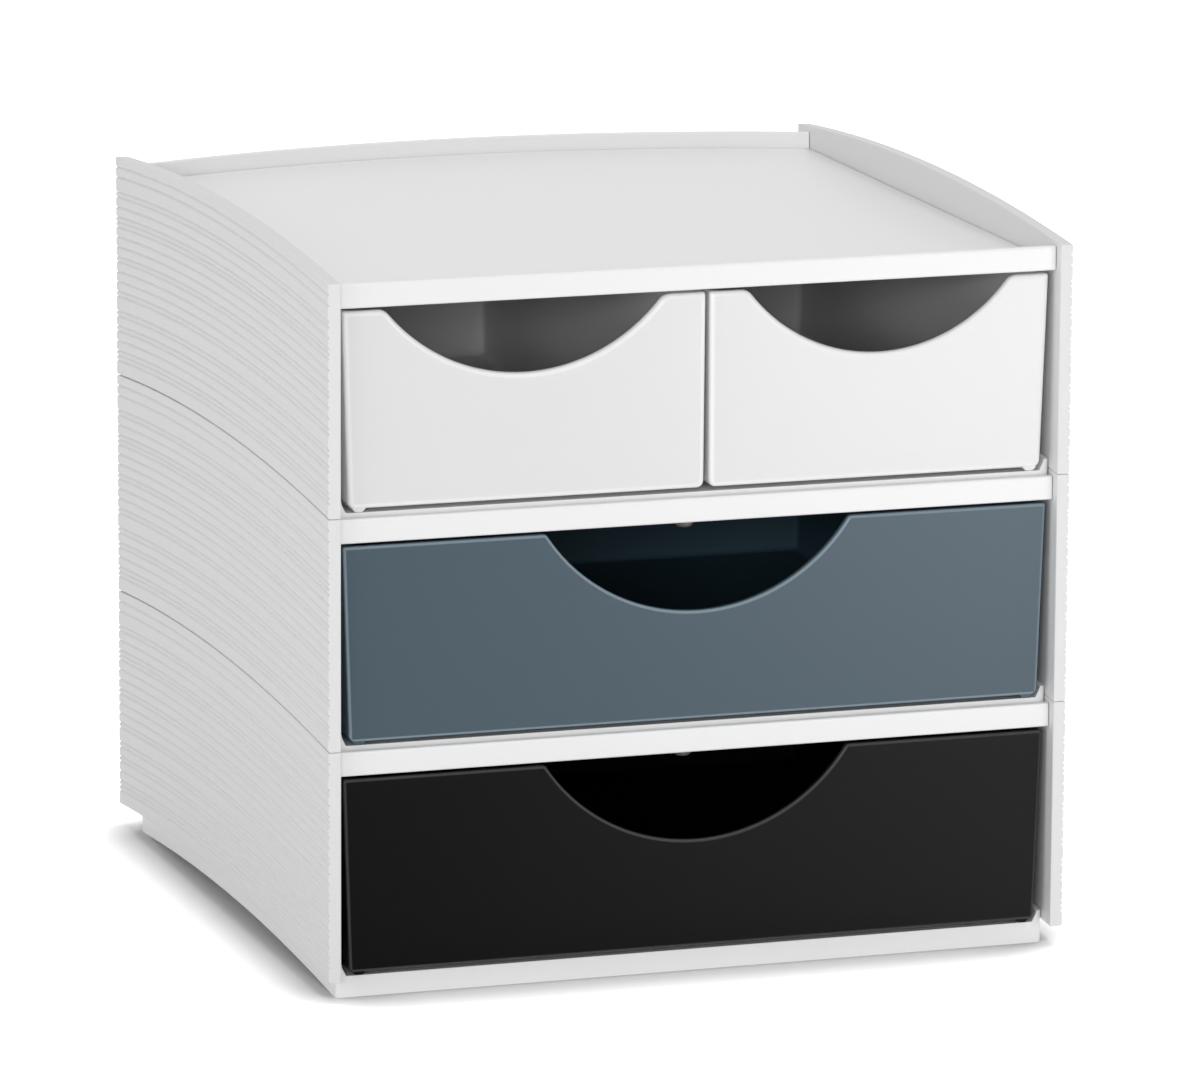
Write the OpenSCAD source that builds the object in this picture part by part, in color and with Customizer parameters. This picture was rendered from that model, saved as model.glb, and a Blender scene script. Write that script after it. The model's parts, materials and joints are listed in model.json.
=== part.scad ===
// Desktop mini drawers: three stacked modules. Each module is a small cabinet of five plastic
// panels that tab together. The two lower ones hold one wide drawer each, and the top one
// holds two small drawers and has an open tray for its roof.
//
// Millimetres. X runs to the right, Y to the back and Z up. The origin lies on the surface that
// the unit stands on, under the middle of its bounding box. A module is drawn in its own frame:
// Y = 0 is the front face of its side panels and Z = 0 is their lower front corner.

/* [Cabinet] */
// Width over the two side panels
body_w = 264; // [220:1:340]
// Depth of the side panels
side_d = 266; // [220:1:320]
// Height that each module adds to the stack
module_h = 79.6; // [66:0.1:110]
// How far each base drops into the tray below it, and stands proud under the lowest module
plinth_h = 7.2; // [6.6:0.1:9]
// How far the middle of the back panel bows out behind its two ends
back_bow = 23.5; // [12:0.5:36]
// From the back edge of a side panel to the inner face of the back panel's end
back_inset = 13.7; // [10:0.1:20]

/* [Side panels] */
// Thickness of a side panel over its ribs
panel_t = 4.5; // [4:0.1:7]
// How far the ribs stand out of the panel
rib_depth = 0.6; // [0.3:0.1:0.9]
// Height of the rounded shoulder at the top and bottom of each rib
rib_shoulder = 0.6; // [0.3:0.1:0.8]
// Rise of the arched top and bottom edges, and of every rib between them
arch_rise = 5.8; // [3:0.1:8]
// Seam between the side panels of two modules
seam = 0.2; // [0.2:0.1:0.6]
// Width of the bevel on the upright edges
panel_bevel = 0.8; // [0.4:0.1:1.4]

/* [Back panels, trays and bases] */
// Thickness of a back panel
back_t = 2.2; // [1.6:0.1:3]
// Thickness of a tray's plate
tray_t = 2; // [1.6:0.1:3]
// From the front face of the side panels to the front rail
rail_recess = 4; // [2:0.1:4.4]
// Thickness of the front rail
rail_t = 3; // [2:0.1:3.2]
// Height of the front rail
rail_h = 8.4; // [7:0.1:9]
// How far the rail hangs below its plate
rail_lip = 0.4; // [0.2:0.1:1]
// Radius of the rail's long edges
rail_edge_r = 0.8; // [0.3:0.1:1]
// From the front face of the side panels to the front of a base
base_recess = 7.5; // [7.5:0.1:9]
// Height of a base's floor over the lower corner of its side panels
floor_rise = 0.2; // [0:0.1:0.5]
// Thickness of a base's floor
floor_t = 2; // [1.6:0.1:2.4]
// Thickness of a base's skirt
skirt_t = 2; // [1.6:0.1:2.4]
// Rise of the arch under the side skirts
skirt_arch = 4.4; // [2:0.1:4.6]
// Length of the flat foot at each end of that arch
skirt_foot = 4; // [3:0.5:20]
// Radius of a base's upright front corners
base_corner_r = 1.6; // [1:0.1:4]
// Height of the guide rails at a base's sides, over its floor
guide_h = 3.2; // [3:0.1:5]
// How much wider a guide rail is at its foot than at its top
guide_flare = 1.5; // [1:0.1:2.6]
// Height of the lip at the back of a base, over its floor
lip_h = 6; // [3:0.1:12]

/* [Drawers] */
// From the front face of the side panels to the drawer fronts
drawer_recess = 5; // [3:0.1:6]
// Gap between a drawer's upper edge and a side panel
drawer_side_gap = 2.1; // [1.6:0.1:3]
// Gap between a drawer and the rail over it
drawer_top_gap = 1.2; // [0.8:0.1:2]
// Gap between a drawer's floor and the base
drawer_floor_gap = 1.6; // [1.2:0.1:2.4]
// Gap between a drawer and the lip behind it
drawer_back_gap = 3; // [1:0.1:8]
// How much each outer side leans in from top to foot
drawer_draft = 2.2; // [1:0.1:3]
// Thickness of a drawer's front wall
front_wall = 3; // [2:0.1:4]
// Thickness of a drawer's other walls
drawer_wall = 2; // [1.4:0.1:3]
// Thickness of a drawer's floor
drawer_floor = 2; // [1.4:0.1:3]
// Outer radius along the foot of a drawer's sides
drawer_foot_r = 2.5; // [1:0.1:4]
// Inner radius along the foot of a drawer's walls
drawer_scoop_r = 8; // [4:0.5:14]
// Outer radius of a drawer's two upright back corners
drawer_back_r = 12; // [8:0.5:20]
// Inner radius of a drawer's two upright front corners
drawer_front_r = 3; // [1:0.5:6]
// How far right of the middle the two small drawers meet
split_offset = 2.8; // [-6:0.1:6]
// Gap between the two small drawers at their upper edges
split_gap = 1.3; // [0.8:0.1:2]
// How much each of their meeting sides leans in from top to foot
split_draft = 0.25; // [0.1:0.05:0.6]
// Width of a runner under a drawer
runner_w = 3.5; // [2:0.1:5]
// From a drawer's side to the middle of its runner
runner_inset = 5.9; // [5:0.1:8]
// Running gap between a runner and the base's floor
runner_gap = 0.3; // [0.2:0.05:0.6]
// How far behind the drawer's front the inner runner of a small drawer starts
runner_setback = 40; // [10:1:90]

/* [Finger cut-outs] */
// Width of a wide drawer's cut-out, where its arc meets the drawer's upper edge
wide_notch_w = 108; // [70:1:150]
// Depth of a wide drawer's cut-out
wide_notch_depth = 29.5; // [15:0.5:40]
// Radius of the shoulders of a wide drawer's cut-out
wide_shoulder_r = 2; // [1:0.5:6]
// Width of the left small drawer's cut-out
left_notch_w = 97.8; // [60:0.1:102]
// Width of the right small drawer's cut-out
right_notch_w = 94.2; // [60:0.1:98]
// Depth of a small drawer's cut-out
small_notch_depth = 23.9; // [12:0.1:34]
// Radius of the shoulders of a small drawer's cut-out
small_shoulder_r = 5; // [1:0.5:6]

/* [Stop pegs] */
// From the front face of the side panels to the middle of a peg
peg_y = 21; // [18:0.5:40]
// Radius of a peg's boss where it meets the plate over it
peg_r = 3.8; // [2.8:0.1:5]
// Radius of a peg's boss at its tip
peg_tip_r = 2.4; // [1:0.1:2.8]
// How far a peg's boss hangs below the plate
peg_drop = 5.3; // [2:0.1:6.4]
// Radius of a peg's shank
shank_r = 2; // [1.2:0.1:2.4]
// Height of the button that holds the shank over the plate
button_h = 0.8; // [0.5:0.1:1.5]

/* [Fits] */
// Gap between a plate's edge and the panel beside it
fit_gap = 0.3; // [0.2:0.05:0.5]
// Gap round a tab in its pocket, and round a peg's shank in its hole
tab_gap = 0.15; // [0.1:0.05:0.25]
// How far a tab reaches into a side panel
tab_reach = 1.8; // [1:0.1:2.2]
// Length of a tab on a tray or a base
tab_w = 12; // [8:1:18]
// How far a tray's tabs lie below its upper face
tab_step = 0.4; // [0.2:0.1:0.6]
// From the end of a plate's side to the middle of its first tab
tab_inset = 22; // [16:1:32]
// Height of a tab on a base, and of its place over the panel's arched edge
base_tab_h = 1.5; // [1.2:0.1:1.6]
// Height of a tab on a back panel
back_tab_h = 14; // [8:1:20]

/* [Hidden] */
LEVELS = ["bottom", "middle", "top"];
PANELS = ["base", "left_side", "right_side", "back", "tray"];

BODY_WHITE = "#f4f4f4";
RIB_WHITE = "#ebebeb";
DRAWER_WHITE = "#e9e9e9";
DRAWER_SLATE = "#5f6d79";
DRAWER_BLACK = "#1c1c1c";
PEG_GREY = "#8a8886";

// Ribs of a side panel, from the top down, each in leaves. All leaves are equally high.
rib_leaves = [2, 2, 3, 1, 2, 2, 1, 1, 2, 2, 2, 1, 2, 2, 2, 1, 3, 1, 2, 1, 2, 2, 1, 1, 3];

// Facets of a full turn, for the widest arcs and for ordinary round shapes
arc_fn = 720;
round_fn = 64;
// How far a cut runs past the face that it opens
over = 1;

// Room between the side panels
inner_w = body_w - 2 * panel_t;
plate_w = inner_w - 2 * fit_gap;

// The back panel's inner face is an arc through its two ends, back_bow deep.
bow_r = (pow(inner_w / 2, 2) + pow(back_bow, 2)) / (2 * back_bow);
bow_y = side_d - back_inset + back_bow - bow_r;
function bow_at(x, r) = bow_y + sqrt(r * r - x * x);
body_d = max(side_d, bow_y + bow_r + back_t);

// The side panels' lower edge is an arc over the whole depth, arch_rise high.
arch_r = (pow(side_d / 2, 2) + pow(arch_rise, 2)) / (2 * arch_rise);
function arch_at(y) = arch_rise - arch_r + sqrt(pow(arch_r, 2) - pow(y - side_d / 2, 2));
arch_sweep = 2 * asin(side_d / 2 / arch_r) + 1;
panel_h = module_h - seam;

// Heights in a module
tray_z = module_h - plinth_h;
rail_z = tray_z - tray_t - rail_lip;
rail_top = rail_z + rail_h;
back_z = rail_top - module_h + seam;
drawer_z = floor_rise + drawer_floor_gap;
drawer_top = rail_z - drawer_top_gap;
runner_z = floor_rise + runner_gap;

// Depths in a module
plate_end = bow_at(plate_w / 2, bow_r - fit_gap);
lip_front = side_d - back_inset - fit_gap - skirt_t;
drawer_back = lip_front - drawer_back_gap;

// Middles of the tabs along a tray's or a base's side
tab_first = base_recess + tab_inset;
tab_last = plate_end - tab_inset;
tab_ys = [tab_first, (tab_first + tab_last) / 2, tab_last];
// Middles of the tabs up a back panel's edge
back_mid = (back_z + rail_top) / 2;
back_tab_zs = [back_mid - rail_top / 4, back_mid + rail_top / 4];

// Upper edges of the drawers' sides, and the lean of each as a slope
drawer_x = inner_w / 2 - drawer_side_gap;
lean = drawer_draft / (drawer_top - drawer_z);
split_lean = split_draft / (drawer_top - drawer_z);
split_left = split_offset - split_gap / 2;
split_right = split_offset + split_gap / 2;

function sum_to(list, n) = n == 0 ? 0 : list[n - 1] + sum_to(list, n - 1);

// Places a module's frame at its level in the stack: 0 is the lowest.
module at_level(level) {
    translate([0, -body_d / 2, plinth_h + level * module_h]) children();
}

// Stands a shape drawn in Y and Z up, and pulls it along X.
module along_x(x0, x1) {
    translate([x0, 0, 0]) rotate([90, 0, 90]) linear_extrude(x1 - x0) children();
}

// Stands a shape drawn in X and Z up, and pulls it along Y.
module along_y(y0, y1) {
    translate([0, y1, 0]) rotate([90, 0, 0]) linear_extrude(y1 - y0) children();
}

// Pulls a plan shape up from z0 to z1.
module along_z(z0, z1) {
    translate([0, 0, z0]) linear_extrude(z1 - z0) children();
}

// A rectangle from one corner to the other, with round corners of radius r
module rounded(from, to, r) {
    size = to - from;
    translate(from + [r, 0]) square([size.x - 2 * r, size.y]);
    translate(from + [0, r]) square([size.x, size.y - 2 * r]);
    for (x = [from.x + r, to.x - r]) {
        for (y = [from.y + r, to.y - r]) {
            translate([x, y]) circle(r, $fn = round_fn);
        }
    }
}

// Mirrors a left-hand shape to the right as well.
module both_sides() {
    children();
    mirror([1, 0, 0]) children();
}

// ---- Side panels ----

// Section of a side panel: height from its lower edge, and thickness from its inner face. The
// top rib runs past the panel's upper edge, where the panel's side view cuts it.
module side_section() {
    leaf = panel_h / sum_to(rib_leaves, len(rib_leaves));
    core_t = panel_t - rib_depth;
    shoulder = min(rib_shoulder, leaf / 3);
    ribs = [for (i = [len(rib_leaves) - 1 : -1 : 0]) rib_leaves[i] * leaf];
    top = len(ribs) - 1;
    outer = [
        for (i = [0 : top])
            let (low = sum_to(ribs, i), high = i == top ? panel_h + over : low + ribs[i])
            each [
                [low, core_t],
                [low + shoulder * 0.3, core_t + rib_depth * 0.7],
                [low + shoulder, panel_t],
                [high - (i == top ? 0 : shoulder), panel_t],
                if (i < top) [high - shoulder * 0.3, core_t + rib_depth * 0.7]
            ]
    ];
    polygon(concat([[0, 0]], outer, [[panel_h + over, 0]]));
}

// Side view that ends a side panel at the top: the arch of its lower edge, moved straight up, so
// that the seam over it is equally wide from front to back
module side_view() {
    intersection() {
        translate([-over, -over]) square([side_d + 2 * over, panel_h + arch_rise + 2 * over]);
        translate([side_d / 2, arch_rise - arch_r + panel_h]) circle(arch_r, $fn = 2 * arc_fn);
    }
}

// Plan that trims a left side panel: square at front and back, with bevelled corners. It runs
// past the panel's two faces, so only its ends and its bevels cut.
module panel_trim() {
    x0 = -body_w / 2 + panel_bevel;
    x1 = -inner_w / 2 - panel_bevel;
    polygon([
        [x0, 0],
        [x1, 0],
        [x1 + panel_t, panel_t],
        [x1 + panel_t, side_d - panel_t],
        [x1, side_d],
        [x0, side_d],
        [x0 - panel_t, side_d - panel_t],
        [x0 - panel_t, panel_t]
    ]);
}

// A left side panel: its section swept along the arch, then trimmed at front, back and top
module side_panel() {
    difference() {
        intersection() {
            translate([-inner_w / 2, side_d / 2, arch_rise - arch_r])
                rotate([0, -90, 0])
                rotate([0, 0, -arch_sweep / 2])
                rotate_extrude(angle = arch_sweep, $fn = arc_fn)
                translate([arch_r, 0])
                side_section();
            along_z(-over, panel_h + arch_rise + 2 * over) panel_trim();
            along_x(-body_w / 2 - over, -inner_w / 2 + over) side_view();
        }
        tray_tabs(tab_gap);
        for (y = tab_ys) {
            side_tab(y, base_tab_z(y), base_tab_h, tab_gap);
        }
        back_pockets();
    }
}

// A tab on a plate's left edge, centred at y. With a gap, the pocket that holds it.
module side_tab(y, z, h, gap) {
    reach = tab_reach + gap;
    translate([-inner_w / 2 - reach, y - tab_w / 2 - gap, z - gap])
        cube([reach + over, tab_w + 2 * gap, h + 2 * gap]);
}

// The tabs along the left side of a tray, stepped down so that the tray's upper face ends at
// the panel
module tray_tabs(gap) {
    for (y = tab_ys) {
        side_tab(y, tray_z - tray_t, tray_t - tab_step, gap);
    }
}

// A base's tabs follow the arched edge of the side panel.
function base_tab_z(y) = arch_at(y) + base_tab_h;

// Pockets for the tabs of the bowed back panel
module back_pockets() {
    reach = inner_w / 2 + tab_reach + tab_gap;
    y0 = bow_at(reach, bow_r) - tab_gap;
    y1 = bow_at(inner_w / 2, bow_r + back_t) + tab_gap;
    h = back_tab_h + 2 * tab_gap;
    for (z = back_tab_zs) {
        translate([-reach, y0, z - h / 2])
            cube([tab_reach + tab_gap + over, y1 - y0, h]);
    }
}

// ---- Back panels ----

// Plan of a stretch of the bowed back panel, half_w to each side of the middle
module bow_band(half_w) {
    intersection() {
        translate([0, bow_y]) difference() {
            circle(bow_r + back_t, $fn = arc_fn);
            circle(bow_r, $fn = arc_fn);
        }
        translate([-half_w, side_d / 2]) square([2 * half_w, body_d]);
    }
}

module back_panel() {
    color(BODY_WHITE) {
        along_z(back_z, rail_top) bow_band(plate_w / 2);
        for (z = back_tab_zs) {
            along_z(z - back_tab_h / 2, z + back_tab_h / 2) bow_band(inner_w / 2 + tab_reach);
        }
    }
}

// ---- Trays ----

// Plan of a plate between the side panels, its back edge along the bow, drawn in by inset
module plate_plan(front, corner_r, inset = 0) {
    half_w = plate_w / 2 - inset;
    intersection() {
        rounded([-half_w, front + inset], [half_w, 2 * side_d], max(corner_r - inset, 0.3));
        translate([0, bow_y]) circle(bow_r - fit_gap - inset, $fn = arc_fn);
    }
}

module peg_hole() {
    translate([0, peg_y, tray_z - tray_t - over])
        cylinder(r = shank_r + tab_gap, h = tray_t + 2 * over, $fn = round_fn);
}

// A tray's plate with its front rail. The next base stands on it, inside the rail and the rim.
module tray(pegged) {
    color(BODY_WHITE) difference() {
        union() {
            along_z(tray_z - tray_t, tray_z) plate_plan(rail_recess + rail_edge_r, 0);
            along_x(-plate_w / 2, plate_w / 2)
                rounded([rail_recess, rail_z], [rail_recess + rail_t, rail_top], rail_edge_r);
            both_sides() tray_tabs(0);
        }
        if (pegged) {
            peg_hole();
        }
    }
}

// ---- Bases ----

// Side view of a base's side wall, whose upper edge runs parallel to the panel's arch
module side_wall_view() {
    intersection() {
        translate([base_recess - over, floor_rise - floor_t])
            square([plate_end - base_recess + over, module_h / 2]);
        translate([side_d / 2, arch_rise - arch_r + floor_rise + guide_h])
            circle(arch_r, $fn = 2 * arc_fn);
    }
}

// The arch under a side skirt, from foot to foot
module skirt_cut() {
    mid = (base_recess + plate_end) / 2;
    half = (plate_end - base_recess) / 2 - skirt_foot;
    cut_r = (half * half + skirt_arch * skirt_arch) / (2 * skirt_arch);
    intersection() {
        translate([mid, skirt_arch - plinth_h - cut_r]) circle(cut_r, $fn = 2 * arc_fn);
        translate([base_recess, -2 * plinth_h]) square([plate_end - base_recess, 2 * plinth_h]);
    }
}

// A guide rail at the foot of the left wall, which keeps the drawer off the side panel
module guide() {
    x = -plate_w / 2 + skirt_t;
    along_y(base_recess - over, lip_front)
        polygon([
            [x - skirt_t / 2, floor_rise - floor_t / 2],
            [x + guide_flare, floor_rise - floor_t / 2],
            [x + guide_flare, floor_rise],
            [x, floor_rise + guide_h],
            [x - skirt_t / 2, floor_rise + guide_h]
        ]);
}

// A base: a floor over a hollow skirt, with a wall up each side and a lip at the back
module base() {
    skirt_in = -plate_w / 2 + skirt_t;
    color(BODY_WHITE) difference() {
        union() {
            along_z(floor_rise - floor_t, floor_rise) plate_plan(base_recess, base_corner_r);
            along_z(-plinth_h, floor_rise - floor_t / 2) difference() {
                plate_plan(base_recess, base_corner_r);
                plate_plan(base_recess, base_corner_r, skirt_t);
            }
            both_sides() {
                intersection() {
                    along_x(-plate_w / 2, skirt_in) side_wall_view();
                    along_z(-plinth_h, module_h) plate_plan(base_recess, base_corner_r);
                }
                intersection() {
                    guide();
                    along_z(-plinth_h, module_h) plate_plan(base_recess, base_corner_r);
                }
                for (y = tab_ys) {
                    side_tab(y, base_tab_z(y), base_tab_h, 0);
                }
            }
            intersection() {
                along_z(floor_rise - floor_t / 2, floor_rise + lip_h) difference() {
                    plate_plan(base_recess, base_corner_r);
                    plate_plan(base_recess, base_corner_r, skirt_t);
                }
                translate([-body_w / 2, lip_front, -plinth_h]) cube([body_w, side_d, module_h]);
            }
        }
        both_sides() along_x(-plate_w / 2 - over, skirt_in + over) skirt_cut();
    }
}

// ---- Drawers ----

// Front view of a drawer between two leaning sides, with round lower corners of radius r.
// left and right each hold a side's place at the drawer's upper edge and its slope.
module drafted(left, right, z0, z1, r) {
    tilt_l = atan(left[1]);
    tilt_r = atan(right[1]);
    zc = z0 + r;
    drop = drawer_top - zc;
    xl = left[0] + left[1] * drop + r / cos(tilt_l);
    xr = right[0] - right[1] * drop - r / cos(tilt_r);
    polygon([
        [xl, z0],
        [xr, z0],
        [xr + r * cos(tilt_r), zc - r * sin(tilt_r)],
        [right[0] + right[1] * (z1 - drawer_top), z1],
        [left[0] - left[1] * (z1 - drawer_top), z1],
        [xl - r * cos(tilt_l), zc - r * sin(tilt_l)]
    ]);
    for (x = [xl, xr]) {
        translate([x, zc]) circle(r, $fn = round_fn);
    }
}

// Plan of a drawer or of its inside: back corners of radius r, front corners of radius front_r
module drawer_plan(x0, x1, y0, y1, r, front_r) {
    mid = (y0 + y1) / 2;
    rounded([x0, y0], [x1, mid + r], front_r);
    rounded([x0, mid - r], [x1, y1], r);
}

// A finger cut-out in front view: an arc, with a round shoulder where it meets the upper edge
module notch(w, depth, shoulder) {
    r = (w * w / 4 + depth * depth) / (2 * depth);
    zc = drawer_top - depth + r;
    zs = drawer_top - shoulder;
    xs = sqrt(pow(r + shoulder, 2) - pow(zc - zs, 2));
    z_meet = zc - (zc - zs) * r / (r + shoulder);
    translate([0, zc]) circle(r, $fn = arc_fn);
    difference() {
        translate([-xs, z_meet]) square([2 * xs, drawer_top + over - z_meet]);
        for (x = [-xs, xs]) {
            translate([x, zs]) circle(shoulder, $fn = round_fn);
        }
    }
}

// The space inside a drawer, scooped along the foot of its walls
module drawer_inside(left, right) {
    x0 = left[0] + drawer_wall;
    x1 = right[0] - drawer_wall;
    y0 = drawer_recess + front_wall;
    y1 = drawer_back - drawer_wall;
    z0 = drawer_z + drawer_floor;
    z1 = drawer_top + over;
    intersection() {
        along_y(y0, y1) drafted([x0, left[1]], [x1, right[1]], z0, z1, drawer_scoop_r);
        along_z(z0, z1)
            drawer_plan(x0 - over, x1 + over, y0, y1, drawer_back_r - drawer_wall, drawer_front_r);
        along_x(x0 - over, x1 + over)
            rounded([y0, z0], [y1, z1 + drawer_scoop_r], drawer_scoop_r);
    }
}

// A runner under a drawer's floor, centred at x
module runner(x, y0) {
    y1 = drawer_back - drawer_back_r;
    translate([x - runner_w / 2, y0, runner_z])
        cube([runner_w, y1 - y0, drawer_z + drawer_floor / 2 - runner_z]);
}

// A drawer: cut is [width, depth, shoulder radius] of its finger cut-out, and runners lists
// each runner's place and how far behind the drawer's front it starts.
module drawer(left, right, cut, runners) {
    difference() {
        union() {
            intersection() {
                along_y(drawer_recess, drawer_back)
                    drafted(left, right, drawer_z, drawer_top, drawer_foot_r);
                along_z(drawer_z, drawer_top)
                    drawer_plan(left[0], right[0], drawer_recess, drawer_back, drawer_back_r, 0.4);
            }
            for (r = runners) {
                runner(r[0], drawer_recess + r[1]);
            }
        }
        drawer_inside(left, right);
        translate([(left[0] + right[0]) / 2, 0, 0])
            along_y(drawer_recess - over, drawer_recess + front_wall + drawer_front_r)
            notch(cut[0], cut[1], cut[2]);
    }
}

module wide_drawer() {
    runner_x = drawer_x - runner_inset;
    drawer(
        [-drawer_x, lean],
        [drawer_x, lean],
        [wide_notch_w, wide_notch_depth, wide_shoulder_r],
        [[-runner_x, 1], [runner_x, 1]]
    );
}

module black_drawer() {
    color(DRAWER_BLACK) wide_drawer();
}

module slate_drawer() {
    color(DRAWER_SLATE) wide_drawer();
}

module white_drawer_left() {
    color(DRAWER_WHITE) drawer(
        [-drawer_x, lean],
        [split_left, split_lean],
        [left_notch_w, small_notch_depth, small_shoulder_r],
        [[-drawer_x + runner_inset, 1], [split_left - runner_inset, runner_setback]]
    );
}

module white_drawer_right() {
    color(DRAWER_WHITE) drawer(
        [split_right, split_lean],
        [drawer_x, lean],
        [right_notch_w, small_notch_depth, small_shoulder_r],
        [[split_right + runner_inset, runner_setback], [drawer_x - runner_inset, 1]]
    );
}

// ---- Stop pegs ----

// A push-in peg: its boss hangs in the way of a drawer's back wall, its button holds it up.
module stop_peg() {
    color(PEG_GREY) translate([0, peg_y, tray_z - tray_t]) {
        translate([0, 0, -peg_drop])
            cylinder(r1 = peg_tip_r, r2 = peg_r, h = peg_drop, $fn = round_fn);
        cylinder(r = shank_r, h = tray_t + tab_gap, $fn = round_fn);
        translate([0, 0, tray_t])
            cylinder(r1 = shank_r + 2 * tab_gap, r2 = shank_r, h = button_h, $fn = round_fn);
    }
}

module panel(name, level) {
    at_level(level) {
        if (name == "base") base();
        if (name == "left_side") color(RIB_WHITE) side_panel();
        if (name == "right_side") color(RIB_WHITE) mirror([1, 0, 0]) side_panel();
        if (name == "back") back_panel();
        if (name == "tray") tray(pegged = level < 2);
    }
}

for (level = [0 : 2]) {
    for (name = PANELS) {
        panel(name, level);
    }
}
at_level(0) black_drawer();
at_level(1) slate_drawer();
at_level(2) white_drawer_left();
at_level(2) white_drawer_right();
at_level(0) stop_peg();  // stop_peg_bottom
at_level(1) stop_peg();  // stop_peg_middle
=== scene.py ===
import json
import math

import bmesh
import bpy
from mathutils import Matrix, Vector

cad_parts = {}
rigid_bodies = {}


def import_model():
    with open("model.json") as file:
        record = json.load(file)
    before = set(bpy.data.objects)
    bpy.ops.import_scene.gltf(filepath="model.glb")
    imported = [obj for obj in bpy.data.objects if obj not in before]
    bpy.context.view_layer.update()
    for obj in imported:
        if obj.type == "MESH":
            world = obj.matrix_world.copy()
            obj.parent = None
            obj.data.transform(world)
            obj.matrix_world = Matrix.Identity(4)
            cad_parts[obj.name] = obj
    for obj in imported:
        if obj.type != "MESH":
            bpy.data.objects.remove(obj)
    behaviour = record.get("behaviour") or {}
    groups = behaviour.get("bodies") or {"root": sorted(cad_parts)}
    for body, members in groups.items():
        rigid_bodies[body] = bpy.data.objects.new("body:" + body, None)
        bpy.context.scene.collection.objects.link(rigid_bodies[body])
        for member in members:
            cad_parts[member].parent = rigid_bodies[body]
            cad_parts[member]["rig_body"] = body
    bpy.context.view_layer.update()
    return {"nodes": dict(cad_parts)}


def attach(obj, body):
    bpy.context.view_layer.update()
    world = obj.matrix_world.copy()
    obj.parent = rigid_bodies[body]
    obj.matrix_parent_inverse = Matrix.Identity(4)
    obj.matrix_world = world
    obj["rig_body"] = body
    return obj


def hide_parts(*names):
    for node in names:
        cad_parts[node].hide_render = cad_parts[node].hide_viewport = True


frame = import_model()

# Desktop mini drawers: three equal modules stacked on each other, with a wide black drawer in the
# bottom one, a wide slate drawer in the middle one and two small white drawers in the top one.

MM = 0.001
LEVELS = ["bottom", "middle", "top"]

# ---- Sizes in millimetres. Each module is drawn in its own frame: Y = 0 is the front face of
# ---- its side panels and Z = 0 is their lower front corner.
BODY_W, SIDE_D, MODULE_H = 264.0, 266.0, 79.6
PLINTH_H = 7.2
PANEL_T, RIB_DEPTH, RIB_SHOULDER = 4.5, 0.7, 0.8
ARCH_RISE, SEAM = 5.8, 0.2
BACK_T, BACK_BOW, BACK_INSET, BACK_EDGE_R = 2.2, 23.5, 13.7, 0.7
TRAY_T = 2.0
RAIL_RECESS, RAIL_T, RAIL_H, RAIL_LIP, RAIL_EDGE_R = 4.0, 3.0, 8.4, 0.4, 0.8
FIT_GAP = 0.3
FLOOR_RISE = 0.2
SHEET_EDGE_R, BASE_EDGE_R = 0.2, 0.35

DRAWER_RECESS, DRAWER_DRAFT = 5.0, 2.2
SIDE_GAP, TOP_GAP, FLOOR_GAP = 2.1, 1.2, 1.6
FRONT_WALL, DRAWER_WALL, DRAWER_FLOOR = 3.0, 2.0, 2.0
DRAWER_BACK = 247.0
FOOT_R, INNER_R, BACK_R, FRONT_R, RIM_R = 2.5, 2.5, 4.0, 3.0, 0.85
WIDE_EDGE_R, SMALL_EDGE_R = 1.2, 2.0
SPLIT_LEFT, SPLIT_RIGHT, SPLIT_DRAFT = 2.15, 3.45, 0.25
RUNNER_W, RUNNER_INSET, RUNNER_GAP, RUNNER_EDGE_R = 3.5, 5.9, 0.3, 0.6
RUNNER_START, RUNNER_SETBACK, RUNNER_END = 1.0, 40.0, 12.0
CORNER_STEPS, BACK_STEPS = 5, 12

PEG_Y, PEG_R, PEG_TIP_R, PEG_DROP = 21.0, 3.8, 3.1, 5.3
PEG_SHANK_R, PEG_BUTTON_R, PEG_BUTTON_GAP, PEG_BUTTON_H = 2.0, 2.3, 0.15, 0.8

# Finger cut-outs: width, depth and the radius of the shoulders
WIDE_CUT = (108.0, 29.5, 2.0)
LEFT_CUT = (97.8, 23.9, 5.0)
RIGHT_CUT = (94.2, 23.9, 5.0)

# Ribs of a side panel from the top down, each in leaves of the same height
RIB_LEAVES = [2, 2, 3, 1, 2, 2, 1, 1, 2, 2, 2, 1, 2, 2, 2, 1, 3, 1, 2, 1, 2, 2, 1, 1, 3]

INNER_W = BODY_W - 2 * PANEL_T
PLATE_HALF = INNER_W / 2 - FIT_GAP
PANEL_H = MODULE_H - SEAM
TRAY_Z = MODULE_H - PLINTH_H
RAIL_Z = TRAY_Z - TRAY_T - RAIL_LIP
RAIL_TOP = RAIL_Z + RAIL_H
BACK_Z = RAIL_TOP - MODULE_H + SEAM
DRAWER_Z = FLOOR_RISE + FLOOR_GAP
DRAWER_TOP = RAIL_Z - TOP_GAP
DRAWER_X = INNER_W / 2 - SIDE_GAP

# The back panel bows out in an arc, and the side panels' edges rise in one.
BOW_R = ((INNER_W / 2) ** 2 + BACK_BOW ** 2) / (2 * BACK_BOW)
BOW_Y = SIDE_D - BACK_INSET + BACK_BOW - BOW_R
BODY_D = BOW_Y + BOW_R + BACK_T
ARCH_R = ((SIDE_D / 2) ** 2 + ARCH_RISE ** 2) / (2 * ARCH_RISE)


def bow_at(x, r):
    """How far back an arc of the bow with that radius is at X"""
    return BOW_Y + math.sqrt(r * r - x * x)


def arch_at(y):
    """How far the side panels' edges have risen at Y"""
    return ARCH_RISE - ARCH_R + math.sqrt(ARCH_R ** 2 - (y - SIDE_D / 2) ** 2)


# ---- Modelling ----

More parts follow.
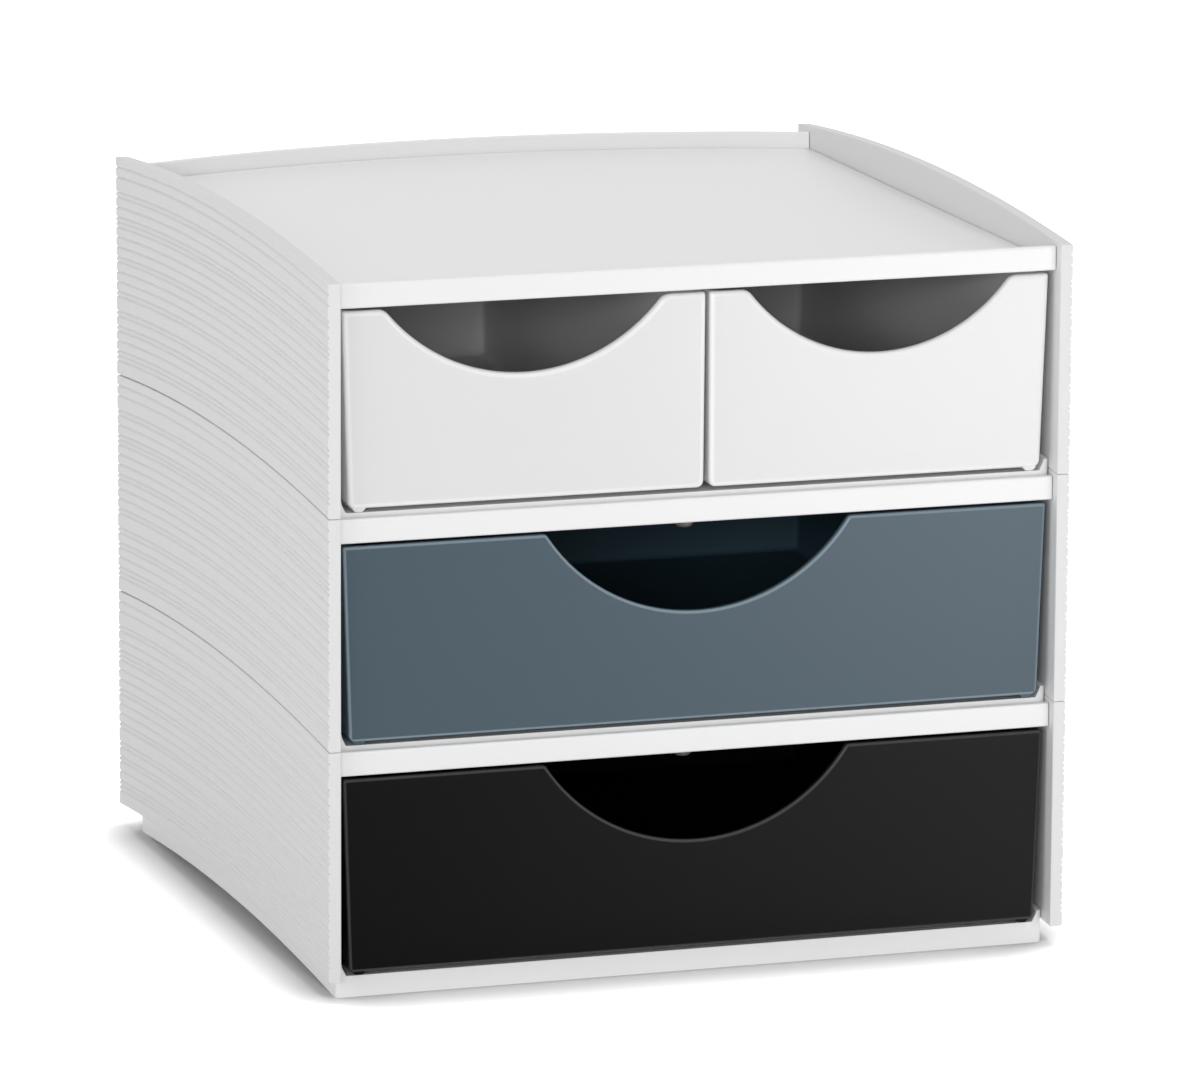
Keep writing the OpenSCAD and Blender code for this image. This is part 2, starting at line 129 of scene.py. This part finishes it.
def steps(a, b, n):
    """The values from a to b in n equal steps"""
    return [a + (b - a) * i / n for i in range(n + 1)]


def turn(cx, cy, r, start, end, n):
    """Points of an arc in a plane, from one angle to another in degrees"""
    return [(cx + r * math.cos(math.radians(a)), cy + r * math.sin(math.radians(a)))
            for a in steps(start, end, n)]


def shares(start, end, n):
    """The steps of a quarter round, as the shares of its radius that are left in the one way and
    gained in the other"""
    return [(1 - math.sin(math.radians(a)), 1 - math.cos(math.radians(a)))
            for a in steps(start, end, n)]


def loft(bm, rings):
    """Pulls one closed skin through the rings: the first is drawn edge by edge, then it is extruded
    once for each further ring and its new corners move onto that ring. Both ends are filled."""
    corners = [bm.verts.new(p) for p in rings[0]]
    edges = [bm.edges.new((corners[i - 1], corners[i])) for i in range(len(corners))]
    bmesh.ops.edgeloop_fill(bm, edges=edges)
    for ring in rings[1:]:
        grown = bmesh.ops.extrude_edge_only(bm, edges=edges)["geom"]
        fresh = {v for v in grown if isinstance(v, bmesh.types.BMVert)}
        edges = [e for e in grown if isinstance(e, bmesh.types.BMEdge)
                 and fresh.issuperset(e.verts)]
        moved = []
        for old, place in zip(corners, ring):
            new = next(e.other_vert(old) for e in old.link_edges if e.other_vert(old) in fresh)
            new.co = place
            moved.append(new)
        corners = moved
    bmesh.ops.edgeloop_fill(bm, edges=edges)


def soften(bm, width):
    """Rounds the edges that are still hard by a fraction of a millimetre, as a mould does."""
    hard = [e for e in bm.edges
            if len(e.link_faces) == 2 and e.calc_face_angle() > math.radians(50)]
    bmesh.ops.bevel(bm, geom=hard, offset=width, offset_type="OFFSET", affect="EDGES", segments=2,
                    profile=0.5, material=-1, clamp_overlap=True)


def mark_painted_highlight(bm, depth):
    """Marks the rounded edges of a front, from Y = 0 back to a depth, for a painted highlight: most
    where the surface has turned a third of the way from the face, and none on the flat face."""
    bmesh.ops.recalc_face_normals(bm, faces=bm.faces)
    bm.normal_update()
    painted_highlight = bm.verts.layers.float.new("painted_highlight")
    for v in bm.verts:
        if v.co.y < depth and v.normal.y < 0:
            turned = math.acos(min(1, -v.normal.y))
            if turned > math.radians(12):
                v[painted_highlight] = 1.3 * math.sin(2 * turned) * math.cos(turned)


def finish_piece(bm, name, node, level, material, flip=False):
    """Stands the finished shape at its level in the stack, and puts it in the CAD node's place."""
    bmesh.ops.remove_doubles(bm, verts=bm.verts, dist=0.0005)
    if flip:
        bmesh.ops.scale(bm, vec=(-1, 1, 1), verts=bm.verts)
    bmesh.ops.recalc_face_normals(bm, faces=bm.faces)
    bmesh.ops.translate(bm, vec=(0, -BODY_D / 2, PLINTH_H + level * MODULE_H), verts=bm.verts)
    bmesh.ops.scale(bm, vec=(MM, MM, MM), verts=bm.verts)
    for face in bm.faces:
        face.smooth = True
    mesh = bpy.data.meshes.new(name)
    bm.to_mesh(mesh)
    bm.free()
    mesh.materials.append(material)
    piece = bpy.data.objects.new(name, mesh)
    bpy.context.scene.collection.objects.link(piece)
    # The broad faces stay flat and only the roundings between them shade round.
    even = piece.modifiers.new("even shading", "WEIGHTED_NORMAL")
    even.weight = 90
    even.keep_sharp = True
    seen_piece = piece.evaluated_get(bpy.context.evaluated_depsgraph_get())
    shaded = bpy.data.meshes.new_from_object(seen_piece)
    piece.modifiers.clear()
    piece.data = shaded
    shaded.name = name
    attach(piece, frame["nodes"][node]["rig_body"])
    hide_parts(node)
    return piece


# ---- Materials ----

# Over how many millimetres the tone and the gloss of a moulding drift
DRIFT_MM = 60
# How much duller the unpolished inside of a moulding is than its outside, in roughness
UNPOLISHED = 0.35


def linear(hex_colour):
    """An sRGB hex colour as Blender's linear colour"""
    parts = [int(hex_colour[i:i + 2], 16) / 255 for i in (1, 3, 5)]
    return [c / 12.92 if c <= 0.04045 else ((c + 0.055) / 1.055) ** 2.4 for c in parts] + [1.0]


def add(tree, kind, links=None, **settings):
    """Adds one node: settings are its properties or inputs, and links feed inputs from sockets."""
    node = tree.nodes.new(kind)
    for key, value in settings.items():
        label = key.replace("_", " ")
        found = [s for s in node.inputs if s.name == label or s.name.lower() == label]
        if hasattr(node, key):
            setattr(node, key, value)
        else:
            found[0].default_value = value
    for key, source in (links or {}).items():
        tree.links.new(source, node.inputs[key])
    return node


def moulded(name, colour, roughness, uneven, grain_mm, grain_depth_mm, ior=1.59, specular=0.5,
            edge=None, inside=None):
    """An injection-moulded plastic. uneven is how much the gloss drifts over a few centimetres, as
    it does where the melt cooled faster. grain_mm is the fine grain of the tool. In life that is
    well under a tenth of a millimetre, and it is drawn coarser so that a picture can hold it. edge
    is a paler colour painted onto the rounded edges where the piece is marked for it: a painted
    highlight. inside is a lighter colour painted onto the inside, where it is marked as inside:
    painted light in the shaded inside, which is also duller."""
    material = bpy.data.materials.new(name)
    material.use_nodes = True
    tree = material.node_tree
    tree.nodes.clear()
    place = add(tree, "ShaderNodeTexCoord")
    drift = add(tree, "ShaderNodeTexNoise", {"Vector": place.outputs["Object"]},
                Scale=1 / (DRIFT_MM * MM), Detail=2.0, Roughness=0.5)
    grain = add(tree, "ShaderNodeTexNoise", {"Vector": place.outputs["Object"]},
                Scale=1 / (grain_mm * MM), Detail=3.0, Roughness=0.6)
    gloss = add(tree, "ShaderNodeMapRange", {"Value": drift.outputs["Fac"]})
    gloss.inputs["To Min"].default_value = roughness - uneven
    gloss.inputs["To Max"].default_value = roughness + uneven
    tone = linear(colour)
    shade = add(tree, "ShaderNodeMix", {"Factor": drift.outputs["Fac"]}, data_type="RGBA")
    shade.inputs[6].default_value = [c * 0.985 for c in tone[:3]] + [1.0]
    shade.inputs[7].default_value = tone
    surface, dullness = shade.outputs[2], gloss.outputs["Result"]
    # Painted highlight: the paler edge colour goes onto the rounded edges that are marked for it.
    if edge:
        painted_highlight = add(tree, "ShaderNodeAttribute", attribute_name="painted_highlight")
        highlight_paint = add(tree, "ShaderNodeMix", {"Factor": painted_highlight.outputs["Fac"], 6: surface},
                  data_type="RGBA")
        highlight_paint.inputs[7].default_value = linear(edge)
        # Painted light: the lighter inside colour goes onto the marked inside, which is also
        # duller.
        inside_matt_and_lit = add(tree, "ShaderNodeAttribute", attribute_name="inside")
        core = add(tree, "ShaderNodeMix", {"Factor": inside_matt_and_lit.outputs["Fac"], 6: highlight_paint.outputs[2]},
                   data_type="RGBA")
        core.inputs[7].default_value = linear(inside)
        surface = core.outputs[2]
        matt = add(tree, "ShaderNodeMath",
                   {0: inside_matt_and_lit.outputs["Fac"], 2: gloss.outputs["Result"]},
                   operation="MULTIPLY_ADD")
        matt.inputs[1].default_value = UNPOLISHED
        dullness = matt.outputs[0]
    bump = add(tree, "ShaderNodeBump", {"Height": grain.outputs["Fac"]},
               Strength=1.0, Distance=grain_depth_mm * MM)
    skin = add(tree, "ShaderNodeBsdfPrincipled",
               {"Base Color": surface, "Roughness": dullness, "Normal": bump.outputs["Normal"]},
               IOR=ior)
    skin.inputs["Specular IOR Level"].default_value = specular
    add(tree, "ShaderNodeOutputMaterial", {"Surface": skin.outputs["BSDF"]})
    return material


# High-impact polystyrene from a polished tool. It gives trays, rails, backs and bases a soft satin
# gloss: broad, faint highlights on the rails and no sharp mirror image on the tray.
SHELL_WHITE = moulded("polystyrene_satin_white", "#f3f3f3", roughness=0.34, uneven=0.03,
                      grain_mm=0.6, grain_depth_mm=0.002)
# The same plastic from an etched tool. The ribbed sides come out matt, so the fine grooves read by
# their shadows and not by glints. They are painted a shade greyer than the satin white, as painted
# shade on the sides.
RIBBED_WHITE = moulded("polystyrene_matt_white", "#e7e7e7", roughness=0.55, uneven=0.03,
                       grain_mm=0.5, grain_depth_mm=0.006)
# Polystyrene from a high-gloss tool, coloured through. The fronts are smooth and take on the light
# of the room. Their rounded edges are painted paler, a painted highlight that shows as thin pale
# lines, and the insides are dull and painted lighter than the outside, as painted light in the
# shaded inside. The dark colours mirror less, so they stay deep.
GLOSS_WHITE = moulded("polystyrene_gloss_white", "#e5e5e6", roughness=0.28, uneven=0.015,
                      grain_mm=1.2, grain_depth_mm=0.001, edge="#fbfbfb", inside="#ececed")
GLOSS_SLATE = moulded("polystyrene_gloss_slate", "#485964", roughness=0.28, uneven=0.015,
                      grain_mm=1.2, grain_depth_mm=0.001, specular=0.25, edge="#8799a4",
                      inside="#4b6877")
GLOSS_BLACK = moulded("polystyrene_gloss_black", "#040404", roughness=0.28, uneven=0.015,
                      grain_mm=1.2, grain_depth_mm=0.001, specular=0.1, edge="#484848",
                      inside="#080808")
# Unfilled nylon, with a waxy, dull sheen beside the white shell. Its warm grey is painted darker,
# as painted shade for the pegs under the tray.
NYLON_PAINTED_SHADE_GREY = moulded("nylon_grey_painted_shade", "#6a6866", roughness=0.45, uneven=0.03,
                     grain_mm=0.5, grain_depth_mm=0.003, ior=1.53)


# ---- Side panels ----

def rib_face():
    """Outer face of a side panel from its lower edge up, as (thickness, height): ribs with round
    shoulders and a narrow groove between each two. The top rib has no upper shoulder."""
    leaf = PANEL_H / sum(RIB_LEAVES)
    core = PANEL_T - RIB_DEPTH
    points, low = [], 0.0
    for number, leaves in enumerate(reversed(RIB_LEAVES), 1):
        high = low + leaves * leaf
        soft = min(RIB_SHOULDER, (high - low) / 2)
        rise = [(core + RIB_DEPTH * (1 - (1 - a) ** 2), soft * a) for a in steps(0, 1, 6)]
        points += [(t, low + z) for t, z in rise]
        if number < len(RIB_LEAVES):
            down = rise[1:-1] if leaves == 1 else rise[1:]
            points += [(t, high - z) for t, z in reversed(down)]
        low = high
    return points


def side_panel(node, level, right):
    """A side panel's section is pulled from front to back along its arch. The section draws in at
    both ends, which rounds the upright edges."""
    inner_r, outer_r, foot_r, top_r = 0.5, 0.2, 0.2, 0.35
    ribs = [(t, z) for t, z in rib_face() if foot_r < z < PANEL_H - top_r]
    core = PANEL_T - RIB_DEPTH
    section = turn(foot_r, foot_r, foot_r, 180, 270, 3)
    section += turn(core - foot_r, foot_r, foot_r, 270, 360, 3)
    section += ribs
    section += turn(PANEL_T - top_r, PANEL_H - top_r, top_r, 0, 90, 4)
    section += turn(top_r, PANEL_H - top_r, top_r, 90, 180, 4)
    ends = [0, 0.015, 0.06, 0.12, 0.2, 0.32]
    ys = ends + steps(inner_r, SIDE_D - inner_r, 36) + [SIDE_D - y for y in reversed(ends)]

    def drawn_in(y, r):
        near = min(y, SIDE_D - y, r)
        return r - math.sqrt(r ** 2 - (r - near) ** 2)

    rings = []
    for y in ys:
        inside, outside = drawn_in(y, inner_r), drawn_in(y, outer_r)
        rings.append([
            (-INNER_W / 2 - min(max(t, inside), PANEL_T - outside), y,
             arch_at(y) + min(max(z, outside), PANEL_H - outside))
            for t, z in section])
    bm = bmesh.new()
    loft(bm, rings)
    finish_piece(bm, node + "_ribbed", node, level, RIBBED_WHITE, flip=right)


# ---- Trays, back panels and bases ----

def tray(node, level):
    """A tray's plate and its front rail are one section, pulled from side to side."""
    y0, y1, r = RAIL_RECESS, RAIL_RECESS + RAIL_T, RAIL_EDGE_R
    low, top, under = RAIL_Z, TRAY_Z, TRAY_Z - TRAY_T
    rail = turn(y0 + r, low + r, r, 270, 180, 5)
    rail += turn(y0 + r, RAIL_TOP - r, r, 180, 90, 5)
    rail += turn(y1 - r, RAIL_TOP - r, r, 90, 0, 5)
    rail += turn(y1 + r, top + r, r, 180, 270, 4)
    lip = [(y1 + 0.4, under), (y1 + 0.05, under - 0.05), (y1 - 0.1, low + 0.1), (y1 - 0.4, low)]
    edge_r = 0.3
    rings = []
    for x in steps(-PLATE_HALF, PLATE_HALF, 36):
        end = bow_at(x, BOW_R - FIT_GAP)
        edge = turn(end - edge_r, top - edge_r, edge_r, 90, 0, 2)
        edge += turn(end - edge_r, under + edge_r, edge_r, 0, -90, 2)
        rings.append([(x, y, z) for y, z in rail + edge + lip])
    bm = bmesh.new()
    loft(bm, rings)
    soften(bm, SHEET_EDGE_R)
    finish_piece(bm, node + "_moulded", node, level, SHELL_WHITE)


def back_panel(node, level):
    """A back panel's upright section, pulled along its bow"""
    r = BACK_EDGE_R
    section = turn(r, BACK_Z + r, r, 180, 270, 3) + turn(BACK_T - r, BACK_Z + r, r, 270, 360, 3)
    section += turn(BACK_T - r, RAIL_TOP - r, r, 0, 90, 3) + turn(r, RAIL_TOP - r, r, 90, 180, 3)
    rings = [[(x, bow_at(x, BOW_R + out), z) for out, z in section]
             for x in steps(-PLATE_HALF, PLATE_HALF, 40)]
    bm = bmesh.new()
    loft(bm, rings)
    soften(bm, SHEET_EDGE_R)
    finish_piece(bm, node + "_moulded", node, level, SHELL_WHITE)


def base(node, level):
    """A base keeps its CAD shape, with every hard edge softened as a mould softens it."""
    bm = bmesh.new()
    bm.from_mesh(frame["nodes"][node].data)
    bmesh.ops.scale(bm, vec=(1 / MM, 1 / MM, 1 / MM), verts=bm.verts)
    bmesh.ops.translate(bm, vec=(0, BODY_D / 2, -PLINTH_H - level * MODULE_H), verts=bm.verts)
    bmesh.ops.remove_doubles(bm, verts=bm.verts, dist=0.002)
    bmesh.ops.dissolve_limit(bm, angle_limit=math.radians(0.6), verts=bm.verts, edges=bm.edges)
    soften(bm, BASE_EDGE_R)
    finish_piece(bm, node + "_moulded", node, level, SHELL_WHITE)


# ---- Drawers ----

def cutout_line(mid, width, depth, shoulder):
    """A finger cut-out from left to right, as (x, z, outward x, outward z): a round shoulder, the
    arc, and the other shoulder"""
    r = (width ** 2 / 4 + depth ** 2) / (2 * depth)
    zc, zs = DRAWER_TOP - depth + r, DRAWER_TOP - shoulder
    xs = math.sqrt((r + shoulder) ** 2 - (zc - zs) ** 2)
    lean = math.asin(xs / (r + shoulder))
    line = [(-xs + shoulder * math.sin(a), zs + shoulder * math.cos(a), math.sin(a), math.cos(a))
            for a in steps(0, lean, 7)]
    line += [(-r * math.sin(a), zc - r * math.cos(a), math.sin(a), math.cos(a))
             for a in steps(lean, -lean, 56)[1:-1]]
    line += [(xs + shoulder * math.sin(a), zs + shoulder * math.cos(a), math.sin(a), math.cos(a))
             for a in steps(-lean, 0, 7)]
    return [(mid + x, z, nx, nz) for x, z, nx, nz in line]


def drawer(node, level, left, right, lean_left, lean_right, cut, runners, edge_r, material):
    """A drawer is one skin: foot, outer wall, rounded rim, inner wall and floor. Its front columns
    follow the finger cut-out. Its sides lean in by lean_left and lean_right towards the foot, and
    each runner is given by its X and by how far it starts behind the front."""
    line = cutout_line((left + right) / 2, *cut)
    rise = DRAWER_TOP - DRAWER_Z
    ramp = steps(0, 1, CORNER_STEPS)
    front_share = ramp + [1] * len(line) + ramp[::-1] + [0] * (2 * BACK_STEPS + 2)

    def ring(side_in, front_in, side_z, front_z, front_r, back_r, wall, squeeze, depth=None):
        """One closed ring of the skin. Its distance in from the outer faces and its height run
        from the sides' values to the front's round each front corner. With wall it is on the inner
        face, and with squeeze its front columns spread over the whole front. With a depth it lies
        that far under the rim instead, also along the cut-out."""
        z_side = DRAWER_TOP - depth[0] if depth else side_z
        front, side = (FRONT_WALL, DRAWER_WALL) if wall else (0, 0)
        x0 = left + lean_left * (DRAWER_TOP - z_side) / rise + side + side_in
        x1 = right - lean_right * (DRAWER_TOP - z_side) / rise - side - side_in
        y0 = DRAWER_RECESS + front + front_in
        y1 = DRAWER_BACK - side - side_in
        plan = turn(x0 + front_r, y0 + front_r, front_r, 180, 270, CORNER_STEPS)
        if depth:
            plan += [(x - nx * depth[1], y0) for x, z, nx, nz in line]
        elif squeeze:
            plan += [(x0 + (x1 - x0) * ((x - left) / (right - left)), y0) for x, z, nx, nz in line]
        else:
            plan += [(x, y0) for x, z, nx, nz in line]
        plan += turn(x1 - front_r, y0 + front_r, front_r, 270, 360, CORNER_STEPS)
        plan += turn(x1 - back_r, y1 - back_r, back_r, 0, 90, BACK_STEPS)
        plan += turn(x0 + back_r, y1 - back_r, back_r, 90, 180, BACK_STEPS)
        if depth:
            heights = [DRAWER_TOP - (depth[0] + (depth[1] - depth[0]) * s) for s in front_share]
            for i, (x, z, nx, nz) in enumerate(line):
                heights[CORNER_STEPS + 1 + i] = z - nz * depth[1]
        else:
            heights = [side_z + (front_z - side_z) * s for s in front_share]
        return [(x, y, z) for (x, y), z in zip(plan, heights)]

    rings = []
    for s, c in shares(0, 90, 6):
        rings.append(ring(FOOT_R * s, edge_r * s, DRAWER_Z + FOOT_R * c, DRAWER_Z + edge_r * c,
                          max(edge_r - edge_r * s, 0.25), BACK_R - FOOT_R * s, False, True))
    for s, c in shares(0, 90, 5):
        rings.append(ring(RIM_R * c, edge_r * c, 0, 0, max(edge_r - edge_r * c, 0.25),
                          BACK_R - RIM_R * c, False, False, depth=(RIM_R * s, edge_r * s)))
    for s, c in shares(90, 0, 5):
        rings.append(ring(-RIM_R * c, -RIM_R * c, 0, 0, FRONT_R + RIM_R * c,
                          BACK_R - DRAWER_WALL + RIM_R * c, True, False,
                          depth=(RIM_R * s, RIM_R * s)))
    inside_from = (len(rings) - 1) * len(rings[0])
    inner_z = DRAWER_Z + DRAWER_FLOOR
    for s, c in shares(90, 0, 9):
        rings.append(ring(INNER_R * s, INNER_R * s, inner_z + INNER_R * c, inner_z + INNER_R * c,
                          max(FRONT_R - INNER_R * s, 0.5),
                          max(BACK_R - DRAWER_WALL - INNER_R * s, 1.0), True, True))
    bm = bmesh.new()
    loft(bm, rings)
    # The rounded front edges are marked for a painted highlight.
    mark_painted_highlight(bm, DRAWER_RECESS + edge_r + 0.05)
    # The inner skin is marked for a lighter colour, painted light in the shaded inside, and for a
    # duller gloss.
    inside = bm.verts.layers.float.new("inside")
    for v in list(bm.verts)[inside_from:]:
        v[inside] = 1

    # The runners are pulled from front to back. Their section lifts at both ends.
    for x, setback in runners:
        y0, y1 = DRAWER_RECESS + setback, DRAWER_BACK - RUNNER_END
        z0, z1 = FLOOR_RISE + RUNNER_GAP, DRAWER_Z + DRAWER_FLOOR / 2
        wide, narrow, r = RUNNER_W / 2 + 0.5, RUNNER_W / 2 - 0.3, RUNNER_EDGE_R
        foot = turn(x - narrow + r, z0 + r, r, 205, 270, 4)
        foot += turn(x + narrow - r, z0 + r, r, 270, 335, 4)
        section = [(x - wide, z1), (x - wide, DRAWER_Z)] + foot
        section += [(x + wide, DRAWER_Z), (x + wide, z1)]
        ends = ((y0, 0.5), (y0 + 0.2, 0.15), (y0 + 0.5, 0), (y1 - 0.5, 0), (y1, 0.5))
        loft(bm, [[(a, y, b if b > DRAWER_Z - 0.2 else max(b, z0 + lift)) for a, b in section]
                  for y, lift in ends])
    finish_piece(bm, node + "_gloss", node, level, material)


# ---- Stop pegs ----

def stop_peg(node, level):
    """A peg is turned: button, shank, and a boss that narrows to a rounded tip."""
    bm = bmesh.new()
    top = TRAY_Z - TRAY_T
    button_z = TRAY_T + PEG_BUTTON_GAP
    button_top = TRAY_T + PEG_BUTTON_H
    outline = [(0, -PEG_DROP)] + turn(PEG_TIP_R - 1.8, -PEG_DROP + 2.0, 2.0, 290, 348, 6)
    outline += [(PEG_R, -0.25), (PEG_R - 0.1, 0), (PEG_SHANK_R, 0), (PEG_SHANK_R, button_z),
                (PEG_BUTTON_R, button_z), (PEG_BUTTON_R - 0.05, TRAY_T + 0.45),
                (PEG_BUTTON_R - 0.4, button_top), (0, button_top)]
    points = [bm.verts.new((r, PEG_Y, top + z)) for r, z in outline]
    edges = [bm.edges.new(pair) for pair in zip(points, points[1:])]
    bmesh.ops.spin(bm, geom=points + edges, cent=(0, PEG_Y, 0), axis=(0, 0, 1), dvec=(0, 0, 0),
                   angle=2 * math.pi, steps=48, use_merge=True)
    finish_piece(bm, node + "_turned", node, level, NYLON_PAINTED_SHADE_GREY)


for number, name in enumerate(LEVELS):
    side_panel("left_side_" + name, number, right=False)
    side_panel("right_side_" + name, number, right=True)
    tray("tray_" + name, number)
    back_panel("back_" + name, number)
    base("base_" + name, number)

# A small drawer's inner runner starts further back, where the front hides it.
LEFT_RUNNER = (-DRAWER_X + RUNNER_INSET, RUNNER_START)
RIGHT_RUNNER = (DRAWER_X - RUNNER_INSET, RUNNER_START)
drawer("black_drawer", 0, -DRAWER_X, DRAWER_X, DRAWER_DRAFT, DRAWER_DRAFT, WIDE_CUT,
       [LEFT_RUNNER, RIGHT_RUNNER], WIDE_EDGE_R, GLOSS_BLACK)
drawer("slate_drawer", 1, -DRAWER_X, DRAWER_X, DRAWER_DRAFT, DRAWER_DRAFT, WIDE_CUT,
       [LEFT_RUNNER, RIGHT_RUNNER], WIDE_EDGE_R, GLOSS_SLATE)
drawer("white_drawer_left", 2, -DRAWER_X, SPLIT_LEFT, DRAWER_DRAFT, SPLIT_DRAFT, LEFT_CUT,
       [LEFT_RUNNER, (SPLIT_LEFT - RUNNER_INSET, RUNNER_SETBACK)], SMALL_EDGE_R, GLOSS_WHITE)
drawer("white_drawer_right", 2, SPLIT_RIGHT, DRAWER_X, SPLIT_DRAFT, DRAWER_DRAFT, RIGHT_CUT,
       [(SPLIT_RIGHT + RUNNER_INSET, RUNNER_SETBACK), RIGHT_RUNNER], SMALL_EDGE_R, GLOSS_WHITE)
stop_peg("stop_peg_bottom", 0)
stop_peg("stop_peg_middle", 1)


# ---- Camera, at the photograph's viewing angle: in front, to the left and above ----

SENSOR_MM, PICTURE_PX, FOCAL_PX = 36.0, 1200, 8709.39
PITCH, YAW, ROLL = 12.0388, 18.4391, 0.3202
camera_data = bpy.data.cameras.new("viewpoint")
camera_data.sensor_width = SENSOR_MM
camera_data.lens = FOCAL_PX * SENSOR_MM / PICTURE_PX
camera_data.clip_end = 50
camera = bpy.data.objects.new("viewpoint", camera_data)
bpy.context.scene.collection.objects.link(camera)
camera.matrix_world = (
    Matrix.Translation((-0.9410, -2.8507, 0.7623))
    @ Matrix.Rotation(math.radians(-YAW), 4, "Z")
    @ Matrix.Rotation(math.radians(90 - PITCH), 4, "X")
    @ Matrix.Rotation(math.radians(ROLL), 4, "Z"))
bpy.context.scene.camera = camera


# ---- Floor, world and lamps ----

ground = bpy.data.meshes.new("studio_floor")
bm = bmesh.new()
bmesh.ops.create_grid(bm, x_segments=2, y_segments=2, size=12)
bm.to_mesh(ground)
bm.free()
floor = bpy.data.objects.new("studio_floor", ground)
bpy.context.scene.collection.objects.link(floor)

# Studio paper: dull and even. It lights the object as a pale sheet, and it looks pure white.
CONTACT_REACH, CONTACT_SHARE = 0.032, 0.42
COAT_WHITE = (1.8, 1.8, 1.8, 1)
PAINTED_REFLECTION_WAY = (1.0, 0.35, 0.0)
PAINTED_REFLECTION_DIM, PAINTED_REFLECTION_LIT = -0.18, 0.10
paper = bpy.data.materials.new("studio_paper_white")
paper.use_nodes = True
tree = paper.node_tree
tree.nodes.clear()
path = add(tree, "ShaderNodeLightPath")
mirrored = add(tree, "ShaderNodeMath", {0: path.outputs["Is Glossy Ray"],
                                        1: path.outputs["Is Transmission Ray"]}, operation="ADD")
# What the drawers' gloss mirrors of the paper is painted lighter to the right, a painted reflection
# that makes the fronts lighter towards the right. It grows across the way set above, square to the
# lines along which the fronts mirror the paper.
place = add(tree, "ShaderNodeTexCoord").outputs["Object"]
across = add(tree, "ShaderNodeVectorMath", {0: place}, operation="DOT_PRODUCT")
across.inputs[1].default_value = PAINTED_REFLECTION_WAY
painted_reflection_side = add(tree, "ShaderNodeMapRange", {"Value": across.outputs["Value"]})
painted_reflection_side.inputs["From Min"].default_value = PAINTED_REFLECTION_DIM
painted_reflection_side.inputs["From Max"].default_value = PAINTED_REFLECTION_LIT
seen = add(tree, "ShaderNodeMath", {0: mirrored.outputs[0], 1: painted_reflection_side.outputs["Result"],
                                    2: path.outputs["Is Camera Ray"]}, operation="MULTIPLY_ADD")
# The camera sees a second coat of white, so the paper reads white and keeps its shadows. The coat
# thins out where something stands within a few centimetres, which keeps the contact shadow deep.
near = add(tree, "ShaderNodeAmbientOcclusion", Distance=CONTACT_REACH, samples=16)
open_air = add(tree, "ShaderNodeMapRange", {"Value": near.outputs["AO"]})
open_air.inputs["From Min"].default_value = CONTACT_SHARE
thick = add(tree, "ShaderNodeMath", {0: seen.outputs[0], 1: open_air.outputs["Result"]},
            operation="MULTIPLY", use_clamp=True)
coat_tone = add(tree, "ShaderNodeMix", {"Factor": thick.outputs[0]}, data_type="RGBA")
coat_tone.inputs[6].default_value = (0, 0, 0, 1)
coat_tone.inputs[7].default_value = COAT_WHITE
sheet_tone = add(tree, "ShaderNodeMix", {"Factor": seen.outputs[0]}, data_type="RGBA")
sheet_tone.inputs[6].default_value = linear("#f0f0f0")
sheet_tone.inputs[7].default_value = linear("#cacaca")
sheet = add(tree, "ShaderNodeBsdfDiffuse", {"Color": sheet_tone.outputs[2]})
coat = add(tree, "ShaderNodeBsdfDiffuse", {"Color": coat_tone.outputs[2]})
both = add(tree, "ShaderNodeAddShader", {0: sheet.outputs[0], 1: coat.outputs[0]})
add(tree, "ShaderNodeOutputMaterial", {"Surface": both.outputs[0]})
ground.materials.append(paper)

# The world looks white in the background and in every mirror, and lights the object at less.
WORLD_LIGHT, WORLD_SEEN = 0.45, 1.0
world = bpy.data.worlds.new("studio")
bpy.context.scene.world = world
world.use_nodes = True
tree = world.node_tree
tree.nodes.clear()
path = add(tree, "ShaderNodeLightPath")
seen = add(tree, "ShaderNodeMath", {0: path.outputs["Is Camera Ray"],
                                    1: path.outputs["Is Glossy Ray"]}, operation="ADD")
seen = add(tree, "ShaderNodeMath", {0: seen.outputs[0], 1: path.outputs["Is Transmission Ray"]},
           operation="ADD", use_clamp=True)
strength = add(tree, "ShaderNodeMapRange", {"Value": seen.outputs[0]})
strength.inputs["To Min"].default_value = WORLD_LIGHT
strength.inputs["To Max"].default_value = WORLD_SEEN
sky = add(tree, "ShaderNodeBackground", {"Strength": strength.outputs["Result"]},
          Color=(1, 1, 1, 1))
add(tree, "ShaderNodeOutputWorld", {"Surface": sky.outputs[0]})


def lamp(name, kind, place, target, size, energy):
    """A soft lamp that faces its target: an AREA lamp of a width and height in metres, in watts, or
    a SUN so many degrees across, whose light is as strong everywhere"""
    light = bpy.data.lights.new(name, kind)
    light.energy = energy
    if kind == "AREA":
        light.shape = "RECTANGLE"
        light.size, light.size_y = size
    else:
        light.angle = math.radians(size)
    holder = bpy.data.objects.new(name, light)
    bpy.context.scene.collection.objects.link(holder)
    aim = (Vector(target) - Vector(place)).to_track_quat("-Z", "Y")
    holder.matrix_world = Matrix.Translation(place) @ aim.to_matrix().to_4x4()
    holder.visible_camera = False


MIDDLE = (0, 0, 0.12)
lamp("skylight_overhead", "SUN", (0.25, 0.04, 1.03), MIDDLE, 46, 0.76)
lamp("softbox_front_right", "AREA", (0.42, -0.85, 0.17), (0.05, -0.14, 0.12), (0.30, 0.30), 0.9)
lamp("softbox_left", "AREA", (-1.45, -0.70, 0.44), (-0.13, 0, 0.12), (0.86, 0.86), 4.1)
lamp("softbox_at_camera", "AREA", (-1.15, -2.75, 0.76), MIDDLE, (1.1, 0.3), 17.2)
lamp("softbox_behind", "AREA", (2.1, 1.3, 0.80), MIDDLE, (1.0, 1.0), 6.0)

bpy.context.scene.view_settings.view_transform = "Standard"
